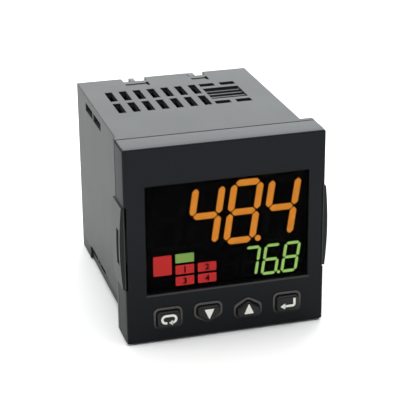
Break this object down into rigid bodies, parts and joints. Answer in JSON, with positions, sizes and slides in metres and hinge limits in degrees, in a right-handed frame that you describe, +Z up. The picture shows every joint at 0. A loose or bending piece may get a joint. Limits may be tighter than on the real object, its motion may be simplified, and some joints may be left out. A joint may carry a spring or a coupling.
{
  "type": "pid temperature controller",
  "caption": "Panel-mounted temperature controller: square front with display and keys on a unit that slides out of a vented sleeve with rear screw terminals.",
  "frame": {"origin": "centre of the panel cut-out, in the plane of the panel's face, where the flange's back rests", "axes": "+X to the right of a person who looks at the front, +Y into the panel along the sleeve, +Z up"},
  "size_m": [0.0748, 0.0875, 0.072],
  "materials": {
    "case_plastic": "fine moulded grain, dark grey",
    "block_plastic": "fine moulded grain, near black",
    "bezel_plastic": "fine moulded grain, charcoal",
    "key_plastic": "satin, charcoal",
    "seal_rubber": "soft black",
    "window_plastic": "smoked, polished",
    "display_plastic": "black face",
    "orange_light": "glowing amber",
    "green_light": "glowing yellow-green",
    "red_light": "glowing red",
    "board_laminate": "green solder mask",
    "switch_plastic": "satin black",
    "button_plastic": "satin off-white",
    "header_plastic": "satin black",
    "ferrite": "dark sintered",
    "coil_tape": "yellow tape",
    "can_aluminium": "sleeved can",
    "relay_plastic": "blue relay case",
    "chip_plastic": "moulded epoxy",
    "terminal_brass": "tinned brass",
    "screw_steel": "zinc plated"
  },
  "bodies": {
    "case": {"case_shell": "case_plastic", "rear_terminal_block": "block_plastic", "terminal_contacts": "terminal_brass", "terminal_clamp_plates": "screw_steel", "terminal_screws": "screw_steel"},
    "front_unit": {"front_bezel": "bezel_plastic", "front_seal": "seal_rubber", "window_lens": "window_plastic", "display_block": "display_plastic", "main_digits": "orange_light", "small_digits": "green_light", "alarm_lamp": "red_light", "unit_lamp": "green_light", "channel_lamps": "red_light", "display_board": "board_laminate", "switch_bodies": "switch_plastic", "power_board": "board_laminate", "control_board": "board_laminate", "power_board_header": "header_plastic", "control_board_header": "header_plastic", "transformer_core": "ferrite", "transformer_coil": "coil_tape", "bulk_capacitor": "can_aluminium", "smoothing_capacitors": "can_aluminium", "output_relays": "relay_plastic", "control_chips": "chip_plastic"},
    "key_menu": {"key_menu": "key_plastic", "switch_button_menu": "button_plastic"},
    "key_down": {"key_down": "key_plastic", "switch_button_down": "button_plastic"},
    "key_up": {"key_up": "key_plastic", "switch_button_up": "button_plastic"},
    "key_enter": {"key_enter": "key_plastic", "switch_button_enter": "button_plastic"}
  },
  "joints": [
    {"name": "front_unit_slide", "type": "slide", "parent": "case", "child": "front_unit", "axis": [0, -1, 0], "range_m": [0, 0.066]},
    {"name": "key_menu_press", "type": "slide", "parent": "front_unit", "child": "key_menu", "axis": [0, 1, 0], "range_m": [0, 0.0005], "stiffness_N_per_m": 2400, "springref_m": -0.0002},
    {"name": "key_down_press", "type": "slide", "parent": "front_unit", "child": "key_down", "axis": [0, 1, 0], "range_m": [0, 0.0005], "stiffness_N_per_m": 2400, "springref_m": -0.0002},
    {"name": "key_up_press", "type": "slide", "parent": "front_unit", "child": "key_up", "axis": [0, 1, 0], "range_m": [0, 0.0005], "stiffness_N_per_m": 2400, "springref_m": -0.0002},
    {"name": "key_enter_press", "type": "slide", "parent": "front_unit", "child": "key_enter", "axis": [0, 1, 0], "range_m": [0, 0.0005], "stiffness_N_per_m": 2400, "springref_m": -0.0002}
  ]
}
